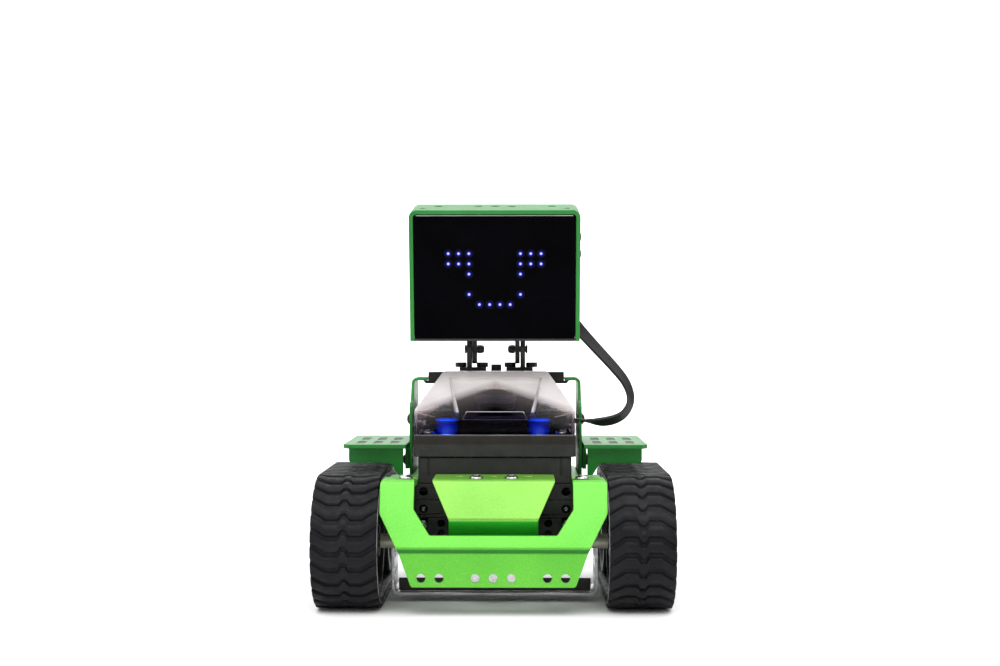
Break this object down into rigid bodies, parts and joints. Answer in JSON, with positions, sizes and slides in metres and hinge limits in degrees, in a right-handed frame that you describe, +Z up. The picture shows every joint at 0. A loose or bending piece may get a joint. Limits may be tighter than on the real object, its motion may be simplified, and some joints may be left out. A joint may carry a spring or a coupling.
{
  "type": "line follower robot",
  "caption": "Small tracked line follower robot of folded green metal plates with a tilting light-matrix head, a see-through controller cover and a line sensor under the nose.",
  "frame": {"origin": "bottom centre of the robot's box without the cable, between the tracks on the floor", "axes": "+X to the robot's left, -Y forwards, +Z up; lengths in metres"},
  "size_m": [0.162, 0.125, 0.1881],
  "materials": {
    "green_anodised": "bright lime green anodised sheet aluminium, satin with a fine grain",
    "silver_metal": "brushed silver",
    "black_metal": "black anodised, satin",
    "black_plastic": "fine moulded grain",
    "black_gloss": "polished black panel",
    "smoke_cover": "smoky see-through plastic",
    "track_rubber": "matt black",
    "circuit_board": "dark blue solder mask",
    "blue_lamp": "blue glowing lens",
    "battery_wrap": "shrink-wrapped cell",
    "cable_sheath": "ribbed black sheath"
  },
  "bodies": {
    "chassis": {"chassis_top_plate": "green_anodised", "front_bumper": "green_anodised", "front_centre_plate": "green_anodised", "rear_plate": "green_anodised", "left_side_plate": "green_anodised", "left_fender": "green_anodised", "right_side_plate": "green_anodised", "right_fender": "green_anodised", "belly_bracket": "silver_metal", "left_front_axle": "silver_metal", "left_axle_spacer": "silver_metal", "left_hinge_screw": "silver_metal", "left_motor": "silver_metal", "right_front_axle": "silver_metal", "right_axle_spacer": "silver_metal", "right_hinge_screw": "silver_metal", "right_motor": "silver_metal", "neck_cross_beam": "black_metal", "left_upper_beam": "black_metal", "left_middle_beam": "black_metal", "left_neck_bracket": "black_metal", "right_upper_beam": "black_metal", "right_middle_beam": "black_metal", "right_neck_bracket": "black_metal", "line_sensor_housing": "black_plastic", "controller_lower_case": "black_plastic", "controller_upper_case": "black_plastic", "port_row": "black_plastic", "cable_port": "black_plastic", "left_gearbox": "black_plastic", "right_gearbox": "black_plastic", "controller_cable_plug": "black_gloss", "controller_cover": "smoke_cover", "left_track_belt": "track_rubber", "right_track_belt": "track_rubber", "line_sensor_board": "circuit_board", "controller_board": "circuit_board", "processor_module": "circuit_board", "left_status_lamp": "blue_lamp", "right_status_lamp": "blue_lamp", "battery_cell_1": "battery_wrap", "battery_cell_2": "battery_wrap", "ribbon_cable": "cable_sheath"},
    "head": {"head_frame": "green_anodised", "head_rear_housing": "black_plastic", "head_face_panel": "black_gloss", "led_matrix_board": "circuit_board", "head_cable_socket": "black_plastic", "head_cable_plug": "black_gloss", "left_head_arm": "black_metal", "right_head_arm": "black_metal"},
    "left_front_wheel_body": {"left_front_wheel": "black_plastic"},
    "right_front_wheel_body": {"right_front_wheel": "black_plastic"},
    "left_rear_wheel_body": {"left_rear_wheel": "black_plastic", "left_drive_shaft": "silver_metal"},
    "right_rear_wheel_body": {"right_rear_wheel": "black_plastic", "right_drive_shaft": "silver_metal"},
    "switch_body": {"power_switch": "black_plastic"},
    "reset_body": {"reset_button": "blue_lamp"}
  },
  "joints": [
    {"name": "head_tilt", "type": "hinge", "parent": "chassis", "child": "head", "pos_m": [0, 0.022, 0.118], "axis": [1, 0, 0], "range_deg": [-35, 15], "deforming": ["ribbon_cable"]},
    {"name": "power_switch_slide", "type": "slide", "parent": "chassis", "child": "switch_body", "axis": [1, 0, 0], "range_m": [-0.002, 0.002]},
    {"name": "reset_press", "type": "slide", "parent": "chassis", "child": "reset_body", "axis": [0, -1, 0], "range_m": [0, 0.0008], "stiffness_N_per_m": 400, "springref_m": -0.0005},
    {"name": "left_rear_wheel_spin", "type": "hinge", "parent": "chassis", "child": "left_rear_wheel_body", "pos_m": [0, 0.032, 0.0305], "axis": [1, 0, 0], "continuous": true},
    {"name": "left_front_wheel_spin", "type": "hinge", "parent": "chassis", "child": "left_front_wheel_body", "pos_m": [0, -0.032, 0.0305], "axis": [1, 0, 0], "continuous": true},
    {"name": "right_rear_wheel_spin", "type": "hinge", "parent": "chassis", "child": "right_rear_wheel_body", "pos_m": [0, 0.032, 0.0305], "axis": [1, 0, 0], "continuous": true},
    {"name": "right_front_wheel_spin", "type": "hinge", "parent": "chassis", "child": "right_front_wheel_body", "pos_m": [0, -0.032, 0.0305], "axis": [1, 0, 0], "continuous": true}
  ],
  "couplings": [
    {"joint": "left_front_wheel_spin", "follows": "left_rear_wheel_spin", "ratio": 1},
    {"joint": "right_front_wheel_spin", "follows": "right_rear_wheel_spin", "ratio": 1}
  ]
}
